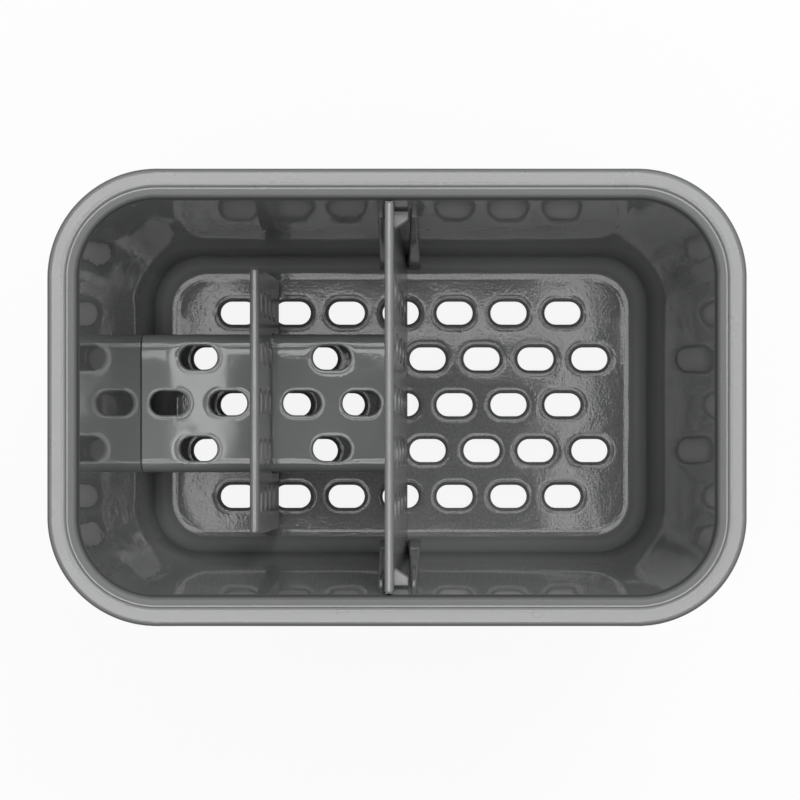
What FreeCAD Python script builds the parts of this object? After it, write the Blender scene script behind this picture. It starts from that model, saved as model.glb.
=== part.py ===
import FreeCAD, Part
import math
import os

os.makedirs("parts", exist_ok=True)

# Kitchen sink caddy, millimetres. +X runs along its length, +Y to the back, +Z up.
# The origin is on the surface that it stands on, under the middle of the caddy.

# Overall
rim_length = 246.2
rim_depth = 161.2
overall_height = 118.0
rim_corner_radius = 38.6

# Fits and cuts
overrun = 5.0
slide_gap = 0.35
seam_gap = 0.15
touch = 0.05
bead_end_share = 0.85

# Outer shell
shell_wall = 2.2
shell_lean_in = 6.6
base_corner_radius = 33.0
rim_band_width = 7.4
rim_edge_radius = 2.0
rim_inner_edge_radius = 2.2
base_edge_radius = 1.0
ledge_thickness = 2.4
base_flange_width = 12.0
base_flange_thickness = 2.0

# Feet
foot_height = 3.5
foot_radius = 5.5
foot_edge_radius = 0.8
stem_radius = 2.4
stem_gap = 0.15
foot_in_from_edge = 6.2

# Inner tub
tub_wall = 2.4
floor_thickness = 2.3
wall_lean_in = 6.1
floor_corner_radius = 21.0
wall_floor_radius = 5.0
lip_drop = 0.5
lip_width = 3.45
lip_thickness = 2.1
lip_inner_radius = 2.7
lip_edge_radius = 0.15
panel_end_margin = 6.4
panel_side_margin = 6.0
panel_drop = 0.9
panel_slope = 3.0
panel_corner_radius = 16.0
panel_edge_radius = 0.4
panel_foot_radius = 6.0

# Drain slots, the same punch in every piece
slot_length = 15.7
slot_width = 10.0
slot_pitch_along = 23.55
slot_pitch_across = 20.0
slot_edge_margin = 8.0
slot_mouth_radius = 1.9

# Guide ribs
rib_top_drop = 15.0
rib_top_width = 2.3
rib_bottom_width = 5.6
rib_top_proud = 3.4
rib_bottom_proud = 5.1
guide_mouth = 9.6
guide_gap = 0.3
rib_edge_radius = 0.9

# Centre divider
divider_bottom_thickness = 6.0
divider_top_thickness = 2.5
divider_bead_radius = 1.6
divider_bead_drop = 0.6
divider_lean = 2.8
divider_corner_ease = 0.3
divider_core_wall = 1.8
divider_slot_margin = 9.0
divider_slot_edge_radius = 0.5
ear_gap = 0.7
ear_length = 7.4
ear_tip_length = 3.2
ear_height = 3.0
ear_drop = 16.5
ear_edge_radius = 0.6

# Sponge platform
platform_height = 26.5
platform_depth = 57.8
platform_plate = 2.4
platform_skirt = 2.2
platform_edge_radius = 5.0
platform_wall_gap = 0.35
platform_divider_gap = 0.6
platform_slot_first = 15.3
platform_slot_pitch = 24.7
platform_row_pitch = 19.0
platform_mouth_radius = 0.9
skirt_foot_gap = 1.2
skirt_setback_height = 9.0
groove_depth = 1.0
groove_gap = 0.35
groove_edge_radius = 0.4

# Low divider
low_rise = 36.1
low_bottom_thickness = 7.4
low_top_thickness = 2.4
low_bead_radius = 1.85
low_end_gap = 10.2
low_foot_gap = 6.0
low_end_lean_in = 1.4
low_corner_radius = 3.5
low_core_wall = 1.8
notch_gap = 0.45
notch_corner_radius = 2.0
low_slot_length = 10.0
low_slot_height = 5.6
low_slot_rise = 4.7
low_row_pitch = 10.7
low_column_pitch = 19.6
low_slot_edge_radius = 0.4

# Places that follow from these
floor_level = foot_height + base_flange_thickness + floor_thickness
panel_level = floor_level - panel_drop
lip_top = overall_height - lip_drop
lip_under = lip_top - lip_thickness
base_length = rim_length - 2 * shell_lean_in
base_depth = rim_depth - 2 * shell_lean_in
rim_width = rim_band_width + seam_gap + lip_width
opening_length = rim_length - 2 * rim_width
opening_depth = rim_depth - 2 * rim_width
opening_corner_radius = rim_corner_radius - rim_width
floor_length = opening_length - 2 * wall_lean_in
floor_depth = opening_depth - 2 * wall_lean_in
panel_length = floor_length - 2 * panel_end_margin
panel_depth = floor_depth - 2 * panel_side_margin
panel_foot_reach = panel_foot_radius * math.tan(math.atan2(panel_drop, panel_slope) / 2)
panel_flat_length = panel_length - 2 * (panel_slope + panel_foot_reach)
rib_top_level = overall_height - rib_top_drop
divider_corner_radius = wall_floor_radius + divider_corner_ease
platform_top = panel_level + platform_height
bead_level = overall_height - divider_bead_drop - divider_bead_radius
low_foot_level = panel_level + low_foot_gap
low_bead_level = platform_top + low_rise - low_bead_radius
low_bottom_half = floor_depth / 2 - low_end_gap
low_top_half = low_bottom_half - low_end_lean_in


def point(x, y, z):
    return FreeCAD.Vector(x, y, z)


def wall_inset(z):
    """How far the tub's inner wall stands in from the lip at height z."""
    return wall_lean_in * (overall_height - z) / (overall_height - floor_level)


def rounded_outline(length, depth, radius, z):
    """Closed rectangle with round corners, centred on the Z axis at height z."""
    half_length = length / 2
    half_depth = depth / 2
    inner_length = half_length - radius
    inner_depth = half_depth - radius
    diagonal = radius * math.sqrt(0.5)
    quarters = [(1, 1), (-1, 1), (-1, -1), (1, -1)]
    edges = []
    for number, (sx, sy) in enumerate(quarters):
        along = point(sx * half_length, sy * inner_depth, z)
        across = point(sx * inner_length, sy * half_depth, z)
        middle = point(sx * (inner_length + diagonal), sy * (inner_depth + diagonal), z)
        start, end = (along, across) if sx == sy else (across, along)
        if number:
            edges.append(Part.makeLine(edges[-1].Vertexes[-1].Point, start))
        edges.append(Part.Arc(start, middle, end).toShape())
    edges.append(Part.makeLine(edges[-1].Vertexes[-1].Point, edges[0].Vertexes[0].Point))
    return Part.Wire(edges)


def drafted_block(lower, upper):
    """Solid between two rounded outlines, each given as length, depth, radius and height."""
    return Part.makeLoft([rounded_outline(*lower), rounded_outline(*upper)], True, True)


def straight_block(length, depth, radius, low, high):
    """Rounded block with upright sides from height low to height high."""
    face = Part.Face(rounded_outline(length, depth, radius, low))
    return face.extrude(point(0, 0, high - low))


def box_between(x, y, z):
    """Box from pairs of lowest and highest x, y and z."""
    return Part.makeBox(x[1] - x[0], y[1] - y[0], z[1] - z[0], point(x[0], y[0], z[0]))


def prism_along_y(points, reach):
    """Extrude a closed outline of (x, z) points by reach each way along Y."""
    corners = [point(x, -reach, z) for x, z in points]
    face = Part.Face(Part.makePolygon(corners + corners[:1]))
    return face.extrude(point(0, 2 * reach, 0))


def prism_along_x(points, low, high):
    """Extrude a closed outline of (y, z) points from x low to x high."""
    corners = [point(low, y, z) for y, z in points]
    face = Part.Face(Part.makePolygon(corners + corners[:1]))
    return face.extrude(point(high - low, 0, 0))


def slot_punch(length, width, depth):
    """Stadium-shaped punch, long in X, centred on the origin and going down by depth."""
    outline = rounded_outline(length, width, width / 2 - touch / 2, 0)
    return Part.Face(outline).extrude(point(0, 0, -depth))


def level_edges(shape, z):
    """Edges that lie wholly at height z."""
    found = []
    for edge in shape.Edges:
        box = edge.BoundBox
        if abs(box.ZMin - z) < touch and abs(box.ZMax - z) < touch:
            found.append(edge)
    return found


def within(edge, length, depth):
    """True where an edge lies inside a centred rectangle of that size."""
    box = edge.BoundBox
    reach_x = max(abs(box.XMin), abs(box.XMax))
    reach_y = max(abs(box.YMin), abs(box.YMax))
    return reach_x < length / 2 and reach_y < depth / 2


def near_any(across, along, places, reach_across, reach_along):
    """True where a point lies in the rectangle round one of these places."""
    return any(abs(across - x) < reach_across + touch and abs(along - y) < reach_along + touch
               for x, y in places)


def spread(room, pitch, offset_share):
    """Places either side of zero, a pitch apart, that stay within room."""
    places = []
    place = offset_share * pitch
    while place <= room:
        places.extend([place, -place] if place else [place])
        place += pitch
    return sorted(places)


def floor_slot_places():
    """Centres of the staggered drain slots in the floor panel."""
    room_along = panel_length / 2 - slot_edge_margin - slot_length / 2
    room_across = panel_depth / 2 - slot_edge_margin - slot_width / 2
    places = []
    for y in spread(room_across, slot_pitch_across, 0):
        odd = round(abs(y) / slot_pitch_across) % 2
        places.extend((x, y) for x in spread(room_along, slot_pitch_along, odd / 2))
    return places


def foot_places():
    """Middles of the four feet, on the diagonals of the base's corners."""
    inward = (base_corner_radius - foot_in_from_edge) * math.sqrt(0.5)
    x = base_length / 2 - base_corner_radius + inward
    y = base_depth / 2 - base_corner_radius + inward
    return {
        "foot_front_left": (-x, -y),
        "foot_front_right": (x, -y),
        "foot_back_left": (-x, y),
        "foot_back_right": (x, y),
    }


def make_outer_shell():
    """Sleeve with the rim's flat band, a ledge for the tub's lip and a flange under its floor."""
    outside = drafted_block(
        (base_length, base_depth, base_corner_radius, foot_height),
        (rim_length, rim_depth, rim_corner_radius, overall_height))
    outside = outside.makeFillet(rim_edge_radius, level_edges(outside, overall_height))
    outside = outside.makeFillet(base_edge_radius, level_edges(outside, foot_height))

    flange_top = foot_height + base_flange_thickness
    ledge_under = lip_under - ledge_thickness
    walls = 2 * shell_wall
    inside = drafted_block(
        (base_length - walls, base_depth - walls, base_corner_radius - shell_wall, flange_top),
        (rim_length - walls, rim_depth - walls, rim_corner_radius - shell_wall, ledge_under))
    shell = outside.cut(inside)

    seat_inset = rim_band_width
    seat = straight_block(
        rim_length - 2 * seat_inset, rim_depth - 2 * seat_inset, rim_corner_radius - seat_inset,
        lip_under, overall_height + overrun)
    throat_inset = rim_width - tub_wall - seam_gap
    throat = straight_block(
        rim_length - 2 * throat_inset, rim_depth - 2 * throat_inset, rim_corner_radius - throat_inset,
        ledge_under - touch, lip_under + touch)
    base_opening = straight_block(
        base_length - 2 * base_flange_width, base_depth - 2 * base_flange_width,
        base_corner_radius - base_flange_width, foot_height - overrun, flange_top + touch)
    shell = shell.cut(seat).cut(throat).cut(base_opening)
    for x, y in foot_places().values():
        hole = Part.makeCylinder(stem_radius + stem_gap, base_flange_thickness + 2 * overrun,
                                 point(x, y, foot_height - overrun))
        shell = shell.cut(hole)
    rim_inner = [edge for edge in level_edges(shell, overall_height)
                 if within(edge, rim_length - 2 * seat_inset + touch, rim_depth - 2 * seat_inset + touch)]
    return shell.makeFillet(rim_inner_edge_radius, rim_inner)


def make_foot(place):
    """Rubber pad with a stem that plugs into the base flange."""
    x, y = place
    pad = Part.makeCylinder(foot_radius, foot_height, point(x, y, 0))
    pad = pad.makeFillet(foot_edge_radius, level_edges(pad, 0))
    stem = Part.makeCylinder(stem_radius, foot_height + base_flange_thickness, point(x, y, 0))
    return pad.fuse(stem).removeSplitter()


def tub_hollow():
    """The space inside the tub, with its floor edge rounded."""
    hollow = drafted_block(
        (floor_length, floor_depth, floor_corner_radius, floor_level),
        (opening_length, opening_depth, opening_corner_radius, overall_height))
    return hollow.makeFillet(wall_floor_radius, level_edges(hollow, floor_level))


def panel_hollow():
    """The shallow recess of the floor panel, with sloped edges."""
    slopes = 2 * panel_slope
    hollow = drafted_block(
        (panel_length - slopes, panel_depth - slopes, panel_corner_radius - panel_slope, panel_level),
        (panel_length, panel_depth, panel_corner_radius, floor_level + touch))
    return hollow.makeFillet(panel_foot_radius, level_edges(hollow, panel_level))


def guide_near(z):
    """How far a guide rib's inner face stands from the caddy's middle at height z."""
    bottom = divider_bottom_thickness / 2 + guide_gap
    share = (z - floor_level) / (rib_top_level - floor_level)
    return bottom + share * (guide_mouth / 2 - bottom)


def guide_rib(side_x, side_y):
    """One tapered rib beside the divider's place, running into the long wall."""
    levels = [
        (floor_level - touch, rib_bottom_width, rib_bottom_proud),
        (rib_top_level, rib_top_width, rib_top_proud),
    ]
    wires = []
    for z, width, proud in levels:
        near = guide_near(z)
        wall = opening_depth / 2 - wall_inset(z)
        corners = [
            point(side_x * near, side_y * (wall + tub_wall / 2), z),
            point(side_x * (near + width), side_y * (wall + tub_wall / 2), z),
            point(side_x * (near + width), side_y * (wall - proud), z),
            point(side_x * near, side_y * (wall - proud), z),
        ]
        wires.append(Part.makePolygon(corners + corners[:1]))
    rib = Part.makeLoft(wires, True, True)
    inner_edges = []
    for edge in rib.Edges:
        reach = edge.CenterOfMass.y * side_y
        upright = edge.BoundBox.ZLength > rib_top_proud
        if reach < opening_depth / 2 - wall_inset(edge.CenterOfMass.z) and (
                upright or abs(edge.CenterOfMass.z - rib_top_level) < touch):
            inner_edges.append(edge)
    return rib.makeFillet(rib_edge_radius, inner_edges)


def make_inner_tub():
    """Liner with a rounded lip, guide ribs and a recessed floor panel full of drain slots."""
    under = floor_level - floor_thickness
    body = drafted_block(
        (floor_length + 2 * tub_wall, floor_depth + 2 * tub_wall, floor_corner_radius + tub_wall, under),
        (opening_length + 2 * tub_wall, opening_depth + 2 * tub_wall, opening_corner_radius + tub_wall,
         overall_height))
    lip_inset = rim_band_width + seam_gap
    lip = straight_block(
        rim_length - 2 * lip_inset, rim_depth - 2 * lip_inset, rim_corner_radius - lip_inset,
        lip_under, lip_top)
    lip = lip.makeFillet(lip_edge_radius, level_edges(lip, lip_top))
    lower_length = panel_length + 2 * panel_slope
    lower_depth = panel_depth + 2 * panel_slope
    panel = straight_block(lower_length, lower_depth, panel_corner_radius + panel_slope,
                           under - panel_drop, under + touch)
    body_trim = straight_block(
        rim_length - 2 * lip_inset, rim_depth - 2 * lip_inset, rim_corner_radius - lip_inset,
        under - panel_drop, lip_under + touch)
    body = body.common(body_trim).fuse(lip).fuse(panel)

    tub = body.cut(tub_hollow())
    for side_x in (-1, 1):
        for side_y in (-1, 1):
            tub = tub.fuse(guide_rib(side_x, side_y))
    tub = tub.cut(panel_hollow()).removeSplitter()

    inner_rim = [edge for edge in level_edges(tub, lip_top)
                 if within(edge, opening_length + touch, opening_depth + touch)]
    tub = tub.makeFillet(lip_inner_radius, inner_rim)
    panel_rim = [edge for edge in level_edges(tub, floor_level)
                 if within(edge, panel_length + touch, panel_depth + touch)]
    tub = tub.makeFillet(panel_edge_radius, panel_rim)

    punch = slot_punch(slot_length, slot_width, floor_thickness + panel_drop + overrun)
    cutters = [punch.translated(point(x, y, floor_level)) for x, y in floor_slot_places()]
    tub = tub.cut(Part.makeCompound(cutters))
    mouth = [edge for edge in level_edges(tub, panel_level)
             if within(edge, panel_length - 2 * slot_edge_margin, panel_depth - 2 * slot_edge_margin)]
    return tub.makeFillet(slot_mouth_radius, mouth)


def bead_along_y(radius, half_length, x, z):
    """Bar along Y with rounded ends."""
    bar = Part.makeCylinder(radius, 2 * half_length, point(x, -half_length, z), point(0, 1, 0))
    ends = [edge for edge in bar.Edges if edge.BoundBox.YLength < touch]
    return bar.makeFillet(bead_end_share * radius, ends)


def wedge(bottom, top, low, high, shift, reach):
    """Plate that narrows from its bottom thickness to its top one, its top shifted along X."""
    outline = [
        (-bottom / 2, low),
        (bottom / 2, low),
        (shift + top / 2, high),
        (shift - top / 2, high),
    ]
    return prism_along_y(outline, reach)


def wedge_core(bottom, top, wall, low, high, shift, reach):
    """The hollow inside a wedge, open below, that closes where its two walls meet."""
    taper = (bottom - top) / (high - low)
    rise = (bottom - 2 * wall) / taper
    rise = min(rise, high - low - wall)
    lean = shift * rise / (high - low)
    narrow = bottom - 2 * wall - taper * rise + touch
    outline = [
        (-bottom / 2 + wall, low),
        (bottom / 2 - wall, low),
        (lean + narrow / 2, low + rise),
        (lean - narrow / 2, low + rise),
    ]
    return prism_along_y(outline, reach)


def perforated_plate(bottom, top, wall, low, high, shift,
                     bottom_half, top_half, corner_radius, bead_radius):
    """Hollow wedge with sloped ends, rounded lower corners and a bead along its top."""
    plate = wedge(bottom, top, low, high, shift, top_half + bottom_half)
    core = wedge_core(bottom, top, wall, low, high, shift, bottom_half - corner_radius - wall)
    sides = [(-bottom_half, low), (bottom_half, low), (top_half, high), (-top_half, high)]
    reach = bottom + abs(shift)
    plate = plate.cut(core).common(prism_along_x(sides, -reach, reach))
    corners = [edge for edge in level_edges(plate, low)
               if edge.BoundBox.YLength < touch and abs(edge.CenterOfMass.y) > bottom_half - touch]
    plate = plate.makeFillet(corner_radius, corners)
    return plate.fuse(bead_along_y(bead_radius, top_half, shift, high))


def upright_slot(width, height, y, z):
    """Stadium punch along X with its long side upright or level, centred at y and z."""
    reach = 2 * overrun
    flat = slot_punch(max(width, height), min(width, height), 2 * reach)
    flat = flat.translated(point(0, 0, reach))
    if width > height:
        flat.rotate(point(0, 0, 0), point(0, 0, 1), 90)
    flat.rotate(point(0, 0, 0), point(0, 1, 0), 90)
    return flat.translated(point(0, y, z))


def cut_upright_slots(plate, places, width, height, bottom, top, low, high, shift, edge_radius):
    """Punch slots along X through a wedge and round their rims on both faces."""
    plate = plate.cut(Part.makeCompound([upright_slot(width, height, y, z) for y, z in places]))
    rims = []
    for edge in plate.Edges:
        centre = edge.CenterOfMass
        in_slot = near_any(centre.y, centre.z, places, width / 2, height / 2)
        on_face = True
        for corner in edge.Vertexes:
            share = (corner.Z - low) / (high - low)
            half = (bottom + share * (top - bottom)) / 2
            on_face = on_face and abs(abs(corner.X - share * shift) - half) < touch
        if in_slot and on_face:
            rims.append(edge)
    return plate.makeFillet(edge_radius, rims)


def divider_slot_places():
    """Centres in y and z of the centre divider's staggered upright slots."""
    low = floor_level + divider_slot_margin + slot_length / 2
    high = bead_level - divider_slot_margin - slot_length / 2
    middle = (low + high) / 2
    room_up = (high - low) / 2
    room_across = floor_depth / 2 - divider_slot_margin - slot_width
    places = []
    for y in spread(room_across, slot_pitch_across, 0):
        odd = round(abs(y) / slot_pitch_across) % 2
        places.extend((y, middle + z) for z in spread(room_up, slot_pitch_along, (1 - odd) / 2))
    return places


def divider_ear(side_y):
    """Gusset on the divider's end, cut off at a slant, that fills the guide between the ribs."""
    high = overall_height - ear_drop
    low = high - ear_height
    reach = guide_near(low) - ear_gap
    wires = []
    for z in (low, high):
        wall = opening_depth / 2 - wall_inset(z) - slide_gap
        shift = divider_lean * (z - floor_level) / (bead_level - floor_level)
        corners = [
            point(-shift, side_y * wall, z),
            point(reach, side_y * wall, z),
            point(reach, side_y * (wall - ear_tip_length), z),
            point(-shift, side_y * (wall - ear_length), z),
        ]
        wires.append(Part.makePolygon(corners + corners[:1]))
    ear = Part.makeLoft(wires, True, True)
    outer = [edge for edge in ear.Edges
             if edge.CenterOfMass.x > reach - touch or edge.BoundBox.ZMin > high - touch]
    return ear.makeFillet(ear_edge_radius, outer)


def make_centre_divider():
    """Tall perforated divider that leans a little in its guides, with a bead along the top."""
    bottom_half = floor_depth / 2 - slide_gap
    top_half = opening_depth / 2 - wall_inset(bead_level) - slide_gap
    plate = perforated_plate(
        divider_bottom_thickness, divider_top_thickness, divider_core_wall, floor_level, bead_level,
        -divider_lean, bottom_half, top_half, divider_corner_radius, divider_bead_radius)
    for side_y in (-1, 1):
        plate = plate.fuse(divider_ear(side_y))
    return cut_upright_slots(
        plate.removeSplitter(), divider_slot_places(), slot_width, slot_length, divider_bottom_thickness,
        divider_top_thickness, floor_level, bead_level, -divider_lean, divider_slot_edge_radius)


def platform_span():
    """Lowest and highest X of the platform: from the end wall to the centre divider."""
    left = -(opening_length / 2 - wall_inset(platform_top)) + platform_wall_gap
    bead_left = -divider_lean - divider_bead_radius
    foot_left = -divider_bottom_thickness / 2
    right = min(bead_left, foot_left) - platform_divider_gap
    return left, right


def platform_slot_places(middle):
    """Centres of the platform's slots, either side of the low divider."""
    left, right = platform_span()
    room = (right - left) / 2 - slot_length / 2 - platform_plate
    places = []
    for row in (-1, 0, 1):
        x = platform_slot_first + (platform_slot_pitch / 2 if row else 0)
        y = row * platform_row_pitch
        while x <= room:
            places.extend([(middle - x, y), (middle + x, y)])
            x += platform_slot_pitch
    return places


def low_half_thickness(z):
    """Half the low divider's thickness at height z."""
    share = (z - low_foot_level) / (low_bead_level - low_foot_level)
    return (low_bottom_thickness + share * (low_top_thickness - low_bottom_thickness)) / 2


def make_sponge_platform():
    """Perforated bridge that stands on the floor on two long skirts."""
    left, right = platform_span()
    middle = (left + right) / 2
    half_depth = platform_depth / 2
    bridge = box_between((left, right), (-half_depth, half_depth), (panel_level, platform_top))
    shoulders = [edge for edge in level_edges(bridge, platform_top) if edge.BoundBox.YLength < touch]
    bridge = bridge.makeFillet(platform_edge_radius, shoulders)

    inner_half = half_depth - platform_skirt
    under = platform_top - platform_plate
    arch = box_between((left - overrun, right + overrun), (-inner_half, inner_half),
                       (panel_level - overrun, under))
    arch_top = [edge for edge in level_edges(arch, under) if edge.BoundBox.YLength < touch]
    arch = arch.makeFillet(platform_edge_radius - platform_skirt, arch_top)
    bridge = bridge.cut(arch)

    skirt_start = skirt_foot_gap - panel_flat_length / 2
    setback = [
        (left - overrun, panel_level - overrun),
        (skirt_start, panel_level - overrun),
        (skirt_start, panel_level + skirt_setback_height),
        (left, under - platform_plate),
        (left - overrun, under - platform_plate),
    ]
    bridge = bridge.cut(prism_along_y(setback, platform_depth))

    seat = platform_top - groove_depth
    groove_half = low_half_thickness(seat) + groove_gap
    groove = box_between((middle - groove_half, middle + groove_half), (-platform_depth, platform_depth),
                         (seat, platform_top + overrun))
    bridge = bridge.cut(groove)
    lips = [edge for edge in level_edges(bridge, platform_top)
            if edge.BoundBox.XLength < touch and abs(edge.CenterOfMass.x - middle) < groove_half + touch]
    bridge = bridge.makeFillet(groove_edge_radius, lips)

    punch = slot_punch(slot_length, slot_width, platform_plate + 2 * overrun)
    places = platform_slot_places(middle)
    cutters = [punch.translated(point(x, y, platform_top + overrun)) for x, y in places]
    bridge = bridge.cut(Part.makeCompound(cutters))
    mouth = []
    for edge in bridge.Edges:
        centre = edge.CenterOfMass
        in_slot = near_any(centre.x, centre.y, places, slot_length / 2, slot_width / 2)
        if in_slot and edge.BoundBox.ZMin > under + touch:
            mouth.append(edge)
    return bridge.makeFillet(platform_mouth_radius, mouth)


def low_slot_places():
    """Centres in y and z of the low divider's slots, above the platform and in its legs."""
    highest = low_bead_level - low_bead_radius - low_slot_height / 2
    leg_inner = platform_depth / 2 + notch_gap + low_core_wall
    room_across = low_top_half - low_corner_radius - low_slot_length / 2
    places = []
    for y in spread(room_across, low_column_pitch, 0):
        in_leg = abs(y) - low_slot_length / 2 > leg_inner
        z = platform_top + low_slot_rise - (low_row_pitch if in_leg else 0)
        while z <= highest:
            places.append((y, z))
            z += low_row_pitch
    return places


def make_low_divider():
    """Low perforated divider that sits astride the platform, its legs clear of the floor."""
    plate = perforated_plate(
        low_bottom_thickness, low_top_thickness, low_core_wall, low_foot_level, low_bead_level,
        0, low_bottom_half, low_top_half, low_corner_radius, low_bead_radius)

    notch_half = platform_depth / 2 + notch_gap
    seat = platform_top - groove_depth
    notch = box_between((-low_bottom_thickness, low_bottom_thickness), (-notch_half, notch_half),
                        (panel_level - overrun, seat))
    notch_top = [edge for edge in level_edges(notch, seat) if edge.BoundBox.YLength < touch]
    plate = plate.cut(notch.makeFillet(notch_corner_radius, notch_top)).removeSplitter()
    plate = cut_upright_slots(
        plate, low_slot_places(), low_slot_length, low_slot_height, low_bottom_thickness,
        low_top_thickness, low_foot_level, low_bead_level, 0, low_slot_edge_radius)
    left, right = platform_span()
    return plate.translated(point((left + right) / 2, 0, 0))


pieces = {
    "outer_shell": make_outer_shell(),
    "inner_tub": make_inner_tub(),
    "centre_divider": make_centre_divider(),
    "sponge_platform": make_sponge_platform(),
    "low_divider": make_low_divider(),
}
for name, place in foot_places().items():
    pieces[name] = make_foot(place)

for name, shape in pieces.items():
    box = shape.BoundBox
    print(name, "valid", shape.isValid(), "solids", len(shape.Solids), "volume", round(shape.Volume, 1),
          "x", round(box.XMin, 2), round(box.XMax, 2), "y", round(box.YMin, 2), round(box.YMax, 2),
          "z", round(box.ZMin, 2), round(box.ZMax, 2))
    shape.exportStep("parts/" + name + ".step")
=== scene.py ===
import math
import bpy
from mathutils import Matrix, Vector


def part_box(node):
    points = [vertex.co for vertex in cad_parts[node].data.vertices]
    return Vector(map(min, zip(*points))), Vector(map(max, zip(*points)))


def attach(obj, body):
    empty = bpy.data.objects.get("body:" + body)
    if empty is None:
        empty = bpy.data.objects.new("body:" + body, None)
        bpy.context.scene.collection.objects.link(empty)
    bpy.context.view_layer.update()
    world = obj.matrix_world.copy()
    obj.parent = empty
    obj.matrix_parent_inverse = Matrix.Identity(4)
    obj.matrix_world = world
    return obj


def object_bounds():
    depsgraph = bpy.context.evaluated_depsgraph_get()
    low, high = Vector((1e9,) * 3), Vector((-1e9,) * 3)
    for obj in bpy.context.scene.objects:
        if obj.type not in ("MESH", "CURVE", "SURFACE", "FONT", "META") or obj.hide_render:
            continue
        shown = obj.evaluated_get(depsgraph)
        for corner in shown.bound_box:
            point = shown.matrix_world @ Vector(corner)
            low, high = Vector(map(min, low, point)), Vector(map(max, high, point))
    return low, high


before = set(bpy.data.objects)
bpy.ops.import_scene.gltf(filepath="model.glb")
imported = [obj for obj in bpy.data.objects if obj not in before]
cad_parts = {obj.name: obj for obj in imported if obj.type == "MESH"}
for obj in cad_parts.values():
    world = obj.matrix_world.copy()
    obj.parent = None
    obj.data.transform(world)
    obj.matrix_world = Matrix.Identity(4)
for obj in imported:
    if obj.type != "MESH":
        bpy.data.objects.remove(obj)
cad_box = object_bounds()

# Lengths, places and depths are in metres, and heights are above the surface that the caddy stands on
RIM_TOP = cad_box[1][2]

# Camera that looks straight down, with the photograph's off-centre framing
CAMERA_PLACE = (0.0065, -0.0133, 0.577)
CAMERA_LENS_MM = 58.95
CAMERA_SENSOR_MM = 36.0
CAMERA_SHIFT = (-0.0194, 0.044)
CAMERA_CLIP = (0.01, 50.0)

# Pale floor, and how much pure white it shows to the camera and to mirror images
WHITE = (1.0, 1.0, 1.0, 1.0)
FLOOR_HALF = 4.0
FLOOR_COLOUR = (0.85, 0.85, 0.85, 1.0)
FLOOR_ROUGHNESS = 0.9
FLOOR_SPECULAR = 0.0
FLOOR_WHITE_SHARE = 0.9
FLOOR_MIRROR_SHARE = 0.04

# Even dome: its light on surfaces, and its strength where it is seen, which is white
DOME_LIGHT = 0.8
DOME_WHITE = 1.0

# A large soft window at the back right
WINDOW_PLACE = (0.7, 1.5, 1.4)
WINDOW_SIZE = (1.2, 1.2)
WINDOW_RADIANCE = 4.0

# Lamps over the caddy that show as reflections: four narrow strips that frame the camera and four softboxes
# outside them, each with its middle in x and y and its size
LAMP_HEIGHT = 1.2
STRIP_RADIANCE = 9.0
STRIPS = {
    "left_strip": ((-0.27, 0.0), (0.064, 0.42)),
    "right_strip": ((0.2125, 0.0), (0.065, 0.42)),
    "back_strip": ((-0.035, 0.1325), (0.42, 0.065)),
    "front_strip": ((-0.035, -0.2), (0.42, 0.07)),
}
SOFTBOX_RADIANCE = 7.5
SOFTBOXES = {
    "left_softbox": ((-0.46, 0.0), (0.22, 1.24)),
    "right_softbox": ((0.46, 0.0), (0.22, 1.24)),
    "back_softbox": ((0.0, 0.445), (0.68, 0.35)),
    "front_softbox": ((0.0, -0.445), (0.68, 0.37)),
}

# Faint mottle in every finish: the noise that makes it, and the stretch of it that changes the roughness.
# The shell and the feet have a scale of their own
MOTTLE_SCALE = 60.0
MOTTLE_DETAIL = 3.0
MOTTLE_RANGE = (0.3, 0.7)

# Drain slots, as the moulded pieces have them: pitch along and across, the last row each side of row 0, and
# the last slot of an even and of an odd row. Odd rows stand half a pitch further along
SLOT_LENGTH = 0.0157
SLOT_WIDTH = 0.010
PANEL_SLOTS = {"pitch": (0.02355, 0.020), "last_row": 2, "last_slot": (3, 3)}
PLATFORM_SLOTS = {"pitch": (0.0247, 0.019), "last_row": 1, "last_slot": (1, 0)}

# Outer shell. Waves, here and below, are layers of noise: scale, detail and depth of each
SHELL_DARK = (0.18, 0.184, 0.182, 1.0)
SHELL_LIGHT = (0.2, 0.204, 0.202, 1.0)
SHELL_MOTTLE_SCALE = 70.0
SHELL_ROUGHNESS = (0.26, 0.32)
SHELL_SPECULAR = 0.5
SHELL_WAVES = [(2400.0, 2.0, 0.000005), (22.0, 0.0, 0.00006)]

# Painted shade: a thin dark, dull line round the rim's outer edge, which has corners of this radius. The
# values give how far in the line fades out, and the heights at which it starts
RIM_CORNER = 0.0386
EDGE_SHADE_IN = (0.0005, 0.0015)
EDGE_SHADE_LEVELS = (RIM_TOP - 0.0032, RIM_TOP - 0.0022)
EDGE_SHADE_COLOUR = (0.105, 0.107, 0.106, 1.0)
EDGE_SHADE_SPECULAR = 0.03

# Flat bead in the seam between the rim's band and the tub's lip
SEAM_BEAD_INSET = 0.00715
SEAM_BEAD_CORNER = 0.03145
SEAM_BEAD_CORNER_STEPS = 24
SEAM_BEAD_HALF_WIDTH = 0.00042
SEAM_BEAD_SECTION_STEPS = 3
SEAM_BEAD_FLATNESS = 0.35
SEAM_BEAD_LEVEL = RIM_TOP - 0.00058

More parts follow.
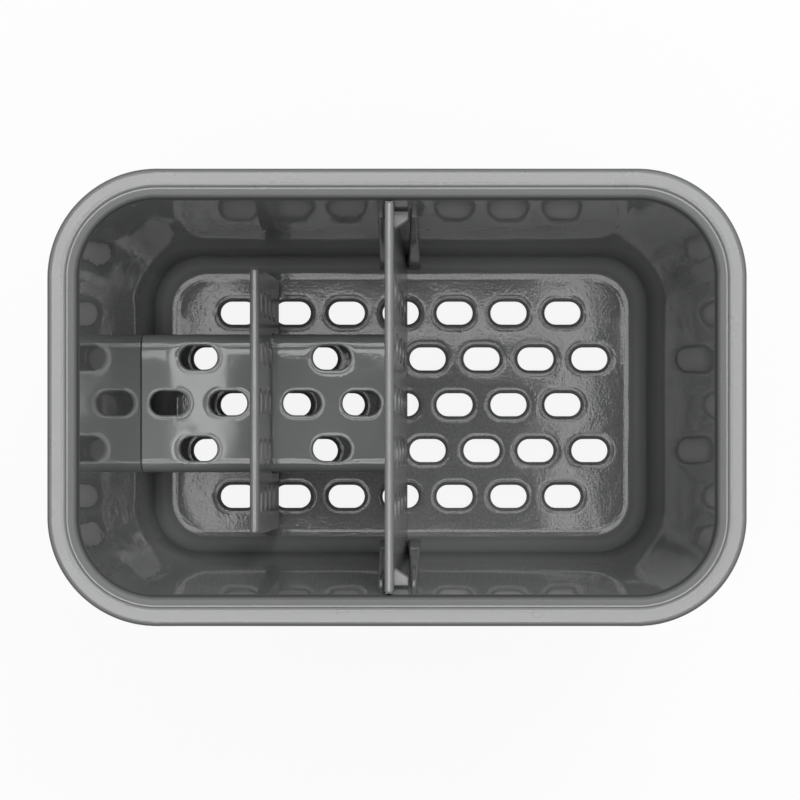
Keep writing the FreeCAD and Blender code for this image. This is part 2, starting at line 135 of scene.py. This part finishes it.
# Tub's floor panel: grained and polished, up to the heights where the smooth ring round it takes over
PANEL_TO_RING = (0.0076, 0.00778)
PANEL_DARK = (0.17, 0.175, 0.173, 1.0)
PANEL_LIGHT = (0.235, 0.24, 0.238, 1.0)
PANEL_ROUGHNESS = (0.04, 0.07)
PANEL_SPECULAR = 0.25
PANEL_WAVES = [(38.0, 1.0, 0.0002), (120.0, 1.0, 0.00004), (1100.0, 1.0, 0.000022)]
SPECKLE_SCALE = 1200.0
SPECKLE_DETAIL = 1.0
SPECKLE_RANGE = (0.36, 0.64)

# The panel's dip towards each slot, beside the slot's rounded mouth
PANEL_MOUTH_RADIUS = 0.0019
PANEL_DIP_SLOPE = 0.25
PANEL_DIP_REACH = 0.0005

# Tub's ring and cove, dull up to the heights where the glossy wall takes over
COVE_TO_WALL = (0.0105, 0.0145)
RING_DARK = (0.195, 0.2, 0.198, 1.0)
RING_LIGHT = (0.21, 0.215, 0.213, 1.0)
COVE_ROUGHNESS = 0.5
COVE_SPECULAR = 0.05

# Tub's walls, with a paler stretch of painted light low down: the heights where it starts, is palest and
# ends
WALL_DARK = (0.122, 0.125, 0.124, 1.0)
WALL_LIGHT = (0.137, 0.14, 0.139, 1.0)
PAINTED_WALL_LIGHT_LEVELS = (0.016, 0.034, 0.066)
PAINTED_WALL_LIGHT_COLOUR = (0.215, 0.218, 0.217, 1.0)
WALL_ROUGHNESS = 0.05
WALL_SPECULAR = 0.25
WALL_WAVES = [(25.0, 1.0, 0.0003)]

# Clear lacquer on the tub's end wall beside the platform, which mirrors it: where along the caddy it ends
LACQUER_ENDS = (-0.104, -0.1)
LACQUER_IOR = 2.0
LACQUER_ROUGHNESS = 0.03

# Tub's satin lip, from the heights where it takes over from the wall
WALL_TO_LIP = (RIM_TOP - 0.0034, RIM_TOP - 0.0024)
LIP_DARK = (0.158, 0.161, 0.16, 1.0)
LIP_LIGHT = (0.173, 0.176, 0.175, 1.0)
LIP_ROUGHNESS = 0.28
LIP_SPECULAR = 0.08

# Painted shade, a dark band at the foot of the lip: the heights where it starts, is darkest and ends
LIP_FOOT_SHADE_LEVELS = (RIM_TOP - 0.0036, RIM_TOP - 0.0017, RIM_TOP - 0.0006)
LIP_FOOT_SHADE_COLOUR = (0.045, 0.046, 0.0455, 1.0)

# Centre divider and low divider
DIVIDER_DARK = (0.18, 0.184, 0.182, 1.0)
DIVIDER_LIGHT = (0.2, 0.204, 0.202, 1.0)
LOW_DIVIDER_DARK = (0.24, 0.244, 0.242, 1.0)
LOW_DIVIDER_LIGHT = (0.26, 0.264, 0.262, 1.0)
DIVIDER_ROUGHNESS = (0.18, 0.24)
DIVIDER_SPECULAR = 0.5
DIVIDER_WAVES = [(40.0, 1.0, 0.0001)]

# Sponge platform. Its grain is faint on the left half and full on the right, with a change at the middle
PLATFORM_DARK = (0.28, 0.292, 0.288, 1.0)
PLATFORM_LIGHT = (0.3, 0.312, 0.308, 1.0)
PLATFORM_ROUGHNESS = (0.04, 0.07)
PLATFORM_SPECULAR = 0.3
PLATFORM_WAVES = [(38.0, 1.0, 0.0003)]
PLATFORM_GRAIN = [(750.0, 1.0, 0.000016)]
PLATFORM_GRAIN_SHARES = (0.1, 1.0)
PLATFORM_GRAIN_CHANGE = 0.005

# The platform's dips towards its slots, the first of which stands off its middle, and towards its shoulders
PLATFORM_FIRST_SLOT = 0.0153
PLATFORM_MOUTH_RADIUS = 0.0009
PLATFORM_DIP_SLOPE = 0.2
PLATFORM_DIP_REACH = 0.0007
PLATFORM_SHOULDER = 0.005
SHOULDER_SLOPE = 0.1
SHOULDER_REACH = 0.0014

# Rubber feet
FEET = ("foot_front_left", "foot_front_right", "foot_back_left", "foot_back_right")
FOOT_DARK = (0.02, 0.02, 0.02, 1.0)
FOOT_LIGHT = (0.03, 0.03, 0.03, 1.0)
FOOT_MOTTLE_SCALE = 300.0
FOOT_ROUGHNESS = (0.6, 0.75)
FOOT_SPECULAR = 0.5
FOOT_WAVES = [(1500.0, 2.0, 0.00003)]


def place_camera():
    camera = bpy.data.cameras.new("camera")
    camera.lens = CAMERA_LENS_MM
    camera.sensor_width = CAMERA_SENSOR_MM
    camera.shift_x, camera.shift_y = CAMERA_SHIFT
    camera.clip_start, camera.clip_end = CAMERA_CLIP
    camera_object = bpy.data.objects.new("camera", camera)
    camera_object.location = CAMERA_PLACE
    bpy.context.scene.collection.objects.link(camera_object)
    bpy.context.scene.camera = camera_object


def new_material(name):
    """A material, its node tree and its shader."""
    material = bpy.data.materials.new(name)
    material.use_nodes = True
    tree = material.node_tree
    return material, tree, tree.nodes["Principled BSDF"]


def feed(tree, value, socket):
    """Link a node's output to a socket, or set the socket to a plain number or colour."""
    if isinstance(value, (int, float, tuple)):
        socket.default_value = value
    else:
        tree.links.new(value, socket)


def reckon(tree, operation, first, second=0.0, third=0.0):
    """One sum on node outputs or numbers."""
    node = tree.nodes.new("ShaderNodeMath")
    node.operation = operation
    for number, value in enumerate((first, second, third)):
        feed(tree, value, node.inputs[number])
    return node.outputs[0]


def held(tree, value, least, most):
    """The value, held between the least and the most."""
    return reckon(tree, "MINIMUM", reckon(tree, "MAXIMUM", value, least), most)


def beyond(tree, value, edge):
    """How far a value lies beyond an edge, and zero short of it."""
    return reckon(tree, "MAXIMUM", reckon(tree, "SUBTRACT", value, edge), 0)


def straight_line(tree, along, across):
    """Length of the straight line that goes this far along and this far across."""
    squares = reckon(tree, "MULTIPLY_ADD", along, along, reckon(tree, "MULTIPLY", across, across))
    return reckon(tree, "SQRT", squares)


def object_place(tree):
    """The point on the piece, and its x, y and z."""
    place = tree.nodes.new("ShaderNodeTexCoord").outputs["Object"]
    split = tree.nodes.new("ShaderNodeSeparateXYZ")
    tree.links.new(place, split.inputs["Vector"])
    return place, split.outputs["X"], split.outputs["Y"], split.outputs["Z"]


def noise(tree, place, scale, detail):
    texture = tree.nodes.new("ShaderNodeTexNoise")
    texture.inputs["Scale"].default_value = scale
    texture.inputs["Detail"].default_value = detail
    tree.links.new(place, texture.inputs["Vector"])
    return texture.outputs["Fac"]


def span(tree, value, from_low, from_high, to_low, to_high):
    """Map one range onto another, held at both ends."""
    node = tree.nodes.new("ShaderNodeMapRange")
    node.inputs["From Min"].default_value = from_low
    node.inputs["From Max"].default_value = from_high
    feed(tree, to_low, node.inputs["To Min"])
    feed(tree, to_high, node.inputs["To Max"])
    tree.links.new(value, node.inputs["Value"])
    return node.outputs["Result"]


def fade(tree, share, first, second):
    """The first number where the share is zero, the second where it is one."""
    return span(tree, share, 0.0, 1.0, first, second)


def rise(tree, value, low, high):
    """Zero up to the low end, one from the high end."""
    return span(tree, value, low, high, 0.0, 1.0)


def hump(tree, value, low, top, high):
    """One at the top, falling to zero at the low and high ends."""
    return span(tree, value, top, high, rise(tree, value, low, top), 0.0)


def two_tone(tree, share, first, second):
    """Blend two colours, each plain or a node's output."""
    blend = tree.nodes.new("ShaderNodeMix")
    blend.data_type = "RGBA"
    tree.links.new(share, blend.inputs["Factor"])
    feed(tree, first, blend.inputs["A"])
    feed(tree, second, blend.inputs["B"])
    return blend.outputs["Result"]


def surface_waves(tree, place, layers):
    """Height of slow waves and fine grain, one layer of noise on another."""
    height = None
    for scale, detail, depth in layers:
        layer = reckon(tree, "MULTIPLY", noise(tree, place, scale, detail), depth)
        height = layer if height is None else reckon(tree, "ADD", height, layer)
    return height


def dip(tree, distance, stop, slope, reach):
    """Height of a surface that rolls off towards an edge: its slope at the stop and how far it reaches."""
    fall = reckon(tree, "EXPONENT", reckon(tree, "DIVIDE", beyond(tree, distance, stop), -reach))
    return reckon(tree, "MULTIPLY", fall, -slope * reach)


def slot_distance(tree, along, across, pitch, last_row, last_slot):
    """How far a point lies outside the nearest slot of a staggered pattern."""
    row = held(tree, reckon(tree, "ROUND", reckon(tree, "DIVIDE", across, pitch[1])), -last_row, last_row)
    beside = reckon(tree, "SUBTRACT", across, reckon(tree, "MULTIPLY", row, pitch[1]))
    odd = reckon(tree, "FLOORED_MODULO", row, 2)
    half_step = reckon(tree, "DIVIDE", odd, 2)
    steps = reckon(tree, "SUBTRACT", reckon(tree, "DIVIDE", along, pitch[0]), half_step)
    last = reckon(tree, "MULTIPLY_ADD", odd, last_slot[1] - last_slot[0], last_slot[0])
    column = held(tree, reckon(tree, "ROUND", steps), 0, last)
    ahead = reckon(tree, "MULTIPLY", reckon(tree, "SUBTRACT", steps, column), pitch[0])
    past_straight = beyond(tree, reckon(tree, "ABSOLUTE", ahead), (SLOT_LENGTH - SLOT_WIDTH) / 2)
    return reckon(tree, "SUBTRACT", straight_line(tree, past_straight, beside), SLOT_WIDTH / 2)


def relief(tree, height):
    """Bump from a height in metres."""
    node = tree.nodes.new("ShaderNodeBump")
    node.inputs["Strength"].default_value = 1.0
    node.inputs["Distance"].default_value = 1.0
    tree.links.new(height, node.inputs["Height"])
    return node.outputs["Normal"]


def finish_surface(tree, shader, colour, roughness, specular, height):
    """Give a shader its colour, roughness, specular level and bump."""
    feed(tree, colour, shader.inputs["Base Color"])
    feed(tree, roughness, shader.inputs["Roughness"])
    feed(tree, specular, shader.inputs["Specular IOR Level"])
    feed(tree, relief(tree, height), shader.inputs["Normal"])


def rim_edge_shade(tree, x, y, z):
    """Mask of the painted shade: one on the outermost turn of the rim's outer edge, falling to zero beside
    it.
    """
    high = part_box("outer_shell")[1]
    past_x = beyond(tree, reckon(tree, "ABSOLUTE", x), high[0] - RIM_CORNER)
    past_y = beyond(tree, reckon(tree, "ABSOLUTE", y), high[1] - RIM_CORNER)
    inside = reckon(tree, "SUBTRACT", RIM_CORNER, straight_line(tree, past_x, past_y))
    near_edge = span(tree, inside, *EDGE_SHADE_IN, 1.0, 0.0)
    return reckon(tree, "MULTIPLY", near_edge, rise(tree, z, *EDGE_SHADE_LEVELS))


def satin_shell_plastic():
    """Outer shell: satin grey with a fine grain and a thin line of painted shade round its edge."""
    material, tree, shader = new_material("satin_grey_plastic")
    place, x, y, z = object_place(tree)
    mottle = noise(tree, place, SHELL_MOTTLE_SCALE, MOTTLE_DETAIL)
    edge_shade = rim_edge_shade(tree, x, y, z)
    satin = two_tone(tree, mottle, SHELL_DARK, SHELL_LIGHT)
    # Painted shade: the outermost turn of the rim is painted darker and made less shiny
    colour = two_tone(tree, edge_shade, satin, EDGE_SHADE_COLOUR)
    roughness = span(tree, mottle, *MOTTLE_RANGE, *SHELL_ROUGHNESS)
    specular = fade(tree, edge_shade, SHELL_SPECULAR, EDGE_SHADE_SPECULAR)
    finish_surface(tree, shader, colour, roughness, specular, surface_waves(tree, place, SHELL_WAVES))
    return material


def up_the_tub(tree, z, cove, wall, lip):
    """A number that changes with height, from the cove's to the wall's and from that to the lip's."""
    cove_to_wall = span(tree, z, *COVE_TO_WALL, cove, wall)
    return span(tree, z, *WALL_TO_LIP, cove_to_wall, lip)


def tub_colour(tree, place, z, mottle, panel):
    """Speckled panel, smooth ring, walls with painted light low down, and a lip with painted shade at its
    foot.
    """
    speckle = rise(tree, noise(tree, place, SPECKLE_SCALE, SPECKLE_DETAIL), *SPECKLE_RANGE)
    speckled = two_tone(tree, speckle, PANEL_DARK, PANEL_LIGHT)
    tub_floor = two_tone(tree, panel, two_tone(tree, mottle, RING_DARK, RING_LIGHT), speckled)
    walls = two_tone(tree, mottle, WALL_DARK, WALL_LIGHT)
    # Painted light: the walls are painted paler low down
    walls = two_tone(tree, hump(tree, z, *PAINTED_WALL_LIGHT_LEVELS), walls, PAINTED_WALL_LIGHT_COLOUR)
    lip = two_tone(tree, mottle, LIP_DARK, LIP_LIGHT)
    walls = two_tone(tree, rise(tree, z, *WALL_TO_LIP), walls, lip)
    inside = two_tone(tree, rise(tree, z, *COVE_TO_WALL), tub_floor, walls)
    # Painted shade: a dark band at the foot of the lip
    return two_tone(tree, hump(tree, z, *LIP_FOOT_SHADE_LEVELS), inside, LIP_FOOT_SHADE_COLOUR)


def tub_height(tree, place, x, y, panel):
    """Waves on the walls, and waves and grain on the panel, which dips towards its slots."""
    distance = slot_distance(tree, reckon(tree, "ABSOLUTE", x), y, **PANEL_SLOTS)
    sink = dip(tree, distance, PANEL_MOUTH_RADIUS, PANEL_DIP_SLOPE, PANEL_DIP_REACH)
    panel_height = reckon(tree, "ADD", sink, surface_waves(tree, place, PANEL_WAVES))
    return fade(tree, panel, surface_waves(tree, place, WALL_WAVES), panel_height)


def lacquer_end_wall(tree, shader, x, z):
    """Clear lacquer between cove and lip on the end wall beside the platform."""
    on_walls = up_the_tub(tree, z, 0.0, 1.0, 0.0)
    at_end = span(tree, x, *LACQUER_ENDS, 1.0, 0.0)
    feed(tree, reckon(tree, "MULTIPLY", on_walls, at_end), shader.inputs["Coat Weight"])
    feed(tree, LACQUER_IOR, shader.inputs["Coat IOR"])
    feed(tree, LACQUER_ROUGHNESS, shader.inputs["Coat Roughness"])


def tub_plastic():
    """Inner tub: satin lip, glossy walls, dull cove and ring, and a polished floor panel with a grain."""
    material, tree, shader = new_material("gloss_dark_grey_plastic")
    place, x, y, z = object_place(tree)
    mottle = noise(tree, place, MOTTLE_SCALE, MOTTLE_DETAIL)
    panel = span(tree, z, *PANEL_TO_RING, 1.0, 0.0)
    roughness = up_the_tub(tree, z, COVE_ROUGHNESS, WALL_ROUGHNESS, LIP_ROUGHNESS)
    roughness = fade(tree, panel, roughness, span(tree, mottle, *MOTTLE_RANGE, *PANEL_ROUGHNESS))
    specular = up_the_tub(tree, z, COVE_SPECULAR, WALL_SPECULAR, LIP_SPECULAR)
    specular = fade(tree, panel, specular, PANEL_SPECULAR)
    colour = tub_colour(tree, place, z, mottle, panel)
    finish_surface(tree, shader, colour, roughness, specular, tub_height(tree, place, x, y, panel))
    lacquer_end_wall(tree, shader, x, z)
    return material


def divider_plastic(name, dark, light):
    """Dividers: smooth grey, duller than the floor panel."""
    material, tree, shader = new_material(name)
    place = object_place(tree)[0]
    mottle = noise(tree, place, MOTTLE_SCALE, MOTTLE_DETAIL)
    colour = two_tone(tree, mottle, dark, light)
    roughness = span(tree, mottle, *MOTTLE_RANGE, *DIVIDER_ROUGHNESS)
    height = surface_waves(tree, place, DIVIDER_WAVES)
    finish_surface(tree, shader, colour, roughness, DIVIDER_SPECULAR, height)
    return material


def platform_height(tree, place, x, y):
    """Waves and grain on a top that dips towards its slots and rolls off to its long shoulders."""
    low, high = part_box("sponge_platform")
    middle = (low[0] + high[0]) / 2
    from_middle = reckon(tree, "ABSOLUTE", reckon(tree, "SUBTRACT", x, middle))
    along = reckon(tree, "SUBTRACT", from_middle, PLATFORM_FIRST_SLOT)
    distance = slot_distance(tree, along, y, **PLATFORM_SLOTS)
    sink = dip(tree, distance, PLATFORM_MOUTH_RADIUS, PLATFORM_DIP_SLOPE, PLATFORM_DIP_REACH)
    to_shoulder = reckon(tree, "SUBTRACT", high[1] - PLATFORM_SHOULDER, reckon(tree, "ABSOLUTE", y))
    shoulder = dip(tree, to_shoulder, 0.0, SHOULDER_SLOPE, SHOULDER_REACH)
    waves = surface_waves(tree, place, PLATFORM_WAVES)
    grain_ends = (middle - PLATFORM_GRAIN_CHANGE, middle + PLATFORM_GRAIN_CHANGE)
    grain_share = span(tree, x, *grain_ends, *PLATFORM_GRAIN_SHARES)
    grain = reckon(tree, "MULTIPLY", surface_waves(tree, place, PLATFORM_GRAIN), grain_share)
    return reckon(tree, "ADD", reckon(tree, "ADD", sink, shoulder), reckon(tree, "ADD", waves, grain))


def platform_plastic():
    """Sponge platform: glossy mid grey."""
    material, tree, shader = new_material("platform_grey_plastic")
    place, x, y = object_place(tree)[:3]
    mottle = noise(tree, place, MOTTLE_SCALE, MOTTLE_DETAIL)
    colour = two_tone(tree, mottle, PLATFORM_DARK, PLATFORM_LIGHT)
    roughness = span(tree, mottle, *MOTTLE_RANGE, *PLATFORM_ROUGHNESS)
    finish_surface(tree, shader, colour, roughness, PLATFORM_SPECULAR, platform_height(tree, place, x, y))
    return material


def foot_rubber():
    """Feet: matte black rubber."""
    material, tree, shader = new_material("black_rubber")
    place = object_place(tree)[0]
    mottle = noise(tree, place, FOOT_MOTTLE_SCALE, MOTTLE_DETAIL)
    colour = two_tone(tree, mottle, FOOT_DARK, FOOT_LIGHT)
    roughness = span(tree, mottle, *MOTTLE_RANGE, *FOOT_ROUGHNESS)
    finish_surface(tree, shader, colour, roughness, FOOT_SPECULAR, surface_waves(tree, place, FOOT_WAVES))
    return material


def paint(node, material):
    """Give a CAD node its one material."""
    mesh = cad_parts[node].data
    mesh.materials.clear()
    mesh.materials.append(material)


def draw_seam_outline():
    """Closed line along the seam, a rectangle with round corners."""
    low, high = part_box("outer_shell")
    bpy.ops.object.select_all(action="DESELECT")
    bpy.ops.mesh.primitive_plane_add(size=1.0, location=(0.0, 0.0, SEAM_BEAD_LEVEL))
    outline = bpy.context.object
    outline.scale = (high[0] - low[0] - 2 * SEAM_BEAD_INSET, high[1] - low[1] - 2 * SEAM_BEAD_INSET, 1.0)
    bpy.ops.object.transform_apply(location=False, rotation=False, scale=True)
    bpy.ops.object.mode_set(mode="EDIT")
    bpy.ops.mesh.select_all(action="SELECT")
    bpy.ops.mesh.bevel(offset=SEAM_BEAD_CORNER, segments=SEAM_BEAD_CORNER_STEPS, affect="VERTICES")
    bpy.ops.mesh.select_all(action="SELECT")
    bpy.ops.mesh.delete(type="ONLY_FACE")
    bpy.ops.object.mode_set(mode="OBJECT")


def make_seam_bead(material):
    """Thin flat bead that closes the seam between the rim's band and the tub's lip."""
    draw_seam_outline()
    bpy.ops.object.convert(target="CURVE")
    line = bpy.context.object.data
    line.bevel_depth = SEAM_BEAD_HALF_WIDTH
    line.bevel_resolution = SEAM_BEAD_SECTION_STEPS
    bpy.ops.object.convert(target="MESH")
    bead = bpy.context.object
    bead.name = "seam_bead"
    bead.scale = (1.0, 1.0, SEAM_BEAD_FLATNESS)
    bpy.ops.object.transform_apply(location=True, rotation=False, scale=True)
    bpy.ops.object.shade_smooth()
    bead.data.materials.clear()
    bead.data.materials.append(material)
    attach(bead, "caddy")


def seen_and_mirrored(tree):
    """Two shares: one on rays that reach the camera straight or through glass, one on mirrored rays."""
    path = tree.nodes.new("ShaderNodeLightPath").outputs
    seen = reckon(tree, "MAXIMUM", path["Is Camera Ray"], path["Is Transmission Ray"])
    return seen, path["Is Glossy Ray"]


def make_floor():
    """Floor that takes the caddy's shadow and is nearly white to the camera."""
    bpy.ops.object.select_all(action="DESELECT")
    bpy.ops.mesh.primitive_plane_add(size=2 * FLOOR_HALF)
    floor = bpy.context.object
    floor.name = "floor"
    material, tree, shader = new_material("pale_floor")
    shader.inputs["Base Color"].default_value = FLOOR_COLOUR
    shader.inputs["Roughness"].default_value = FLOOR_ROUGHNESS
    shader.inputs["Specular IOR Level"].default_value = FLOOR_SPECULAR
    glow = tree.nodes.new("ShaderNodeEmission")
    glow.inputs["Color"].default_value = WHITE
    seen, mirrored = seen_and_mirrored(tree)
    mirrored = reckon(tree, "MULTIPLY", mirrored, FLOOR_MIRROR_SHARE)
    mix = tree.nodes.new("ShaderNodeMixShader")
    tree.links.new(reckon(tree, "MULTIPLY_ADD", seen, FLOOR_WHITE_SHARE, mirrored), mix.inputs["Fac"])
    tree.links.new(shader.outputs["BSDF"], mix.inputs[1])
    tree.links.new(glow.outputs["Emission"], mix.inputs[2])
    tree.links.new(mix.outputs["Shader"], tree.nodes["Material Output"].inputs["Surface"])
    floor.data.materials.append(material)


def light_world():
    """White dome all round, a little dimmer as a light than as a background."""
    world = bpy.data.worlds.new("studio")
    world.use_nodes = True
    bpy.context.scene.world = world
    tree = world.node_tree
    background = tree.nodes["Background"]
    background.inputs["Color"].default_value = WHITE
    shown = reckon(tree, "MAXIMUM", *seen_and_mirrored(tree))
    tree.links.new(fade(tree, shown, DOME_LIGHT, DOME_WHITE), background.inputs["Strength"])


def add_lamp(name, place, size, radiance):
    """Rectangular lamp that faces down, as bright per area as radiance says."""
    lamp = bpy.data.lights.new(name, "AREA")
    lamp.shape = "RECTANGLE"
    lamp.size, lamp.size_y = size
    lamp.energy = radiance * math.pi * size[0] * size[1]
    lamp_object = bpy.data.objects.new(name, lamp)
    lamp_object.location = place
    bpy.context.scene.collection.objects.link(lamp_object)
    return lamp_object


def light_caddy():
    """Window that lights the caddy, turned towards it, and the lamps that its glossy faces mirror."""
    window = add_lamp("window", WINDOW_PLACE, WINDOW_SIZE, WINDOW_RADIANCE)
    window.rotation_euler = window.location.to_track_quat("Z", "Y").to_euler()
    window.visible_glossy = False
    for lamps, radiance in ((STRIPS, STRIP_RADIANCE), (SOFTBOXES, SOFTBOX_RADIANCE)):
        for name, (middle, size) in lamps.items():
            add_lamp(name, (*middle, LAMP_HEIGHT), size, radiance).visible_diffuse = False


place_camera()
make_floor()
light_world()
light_caddy()

satin = satin_shell_plastic()
rubber = foot_rubber()
paint("outer_shell", satin)
make_seam_bead(satin)
paint("inner_tub", tub_plastic())
paint("centre_divider", divider_plastic("divider_grey_plastic", DIVIDER_DARK, DIVIDER_LIGHT))
paint("low_divider", divider_plastic("low_divider_plastic", LOW_DIVIDER_DARK, LOW_DIVIDER_LIGHT))
paint("sponge_platform", platform_plastic())
for foot in FEET:
    paint(foot, rubber)

bpy.context.scene.view_settings.view_transform = "Standard"
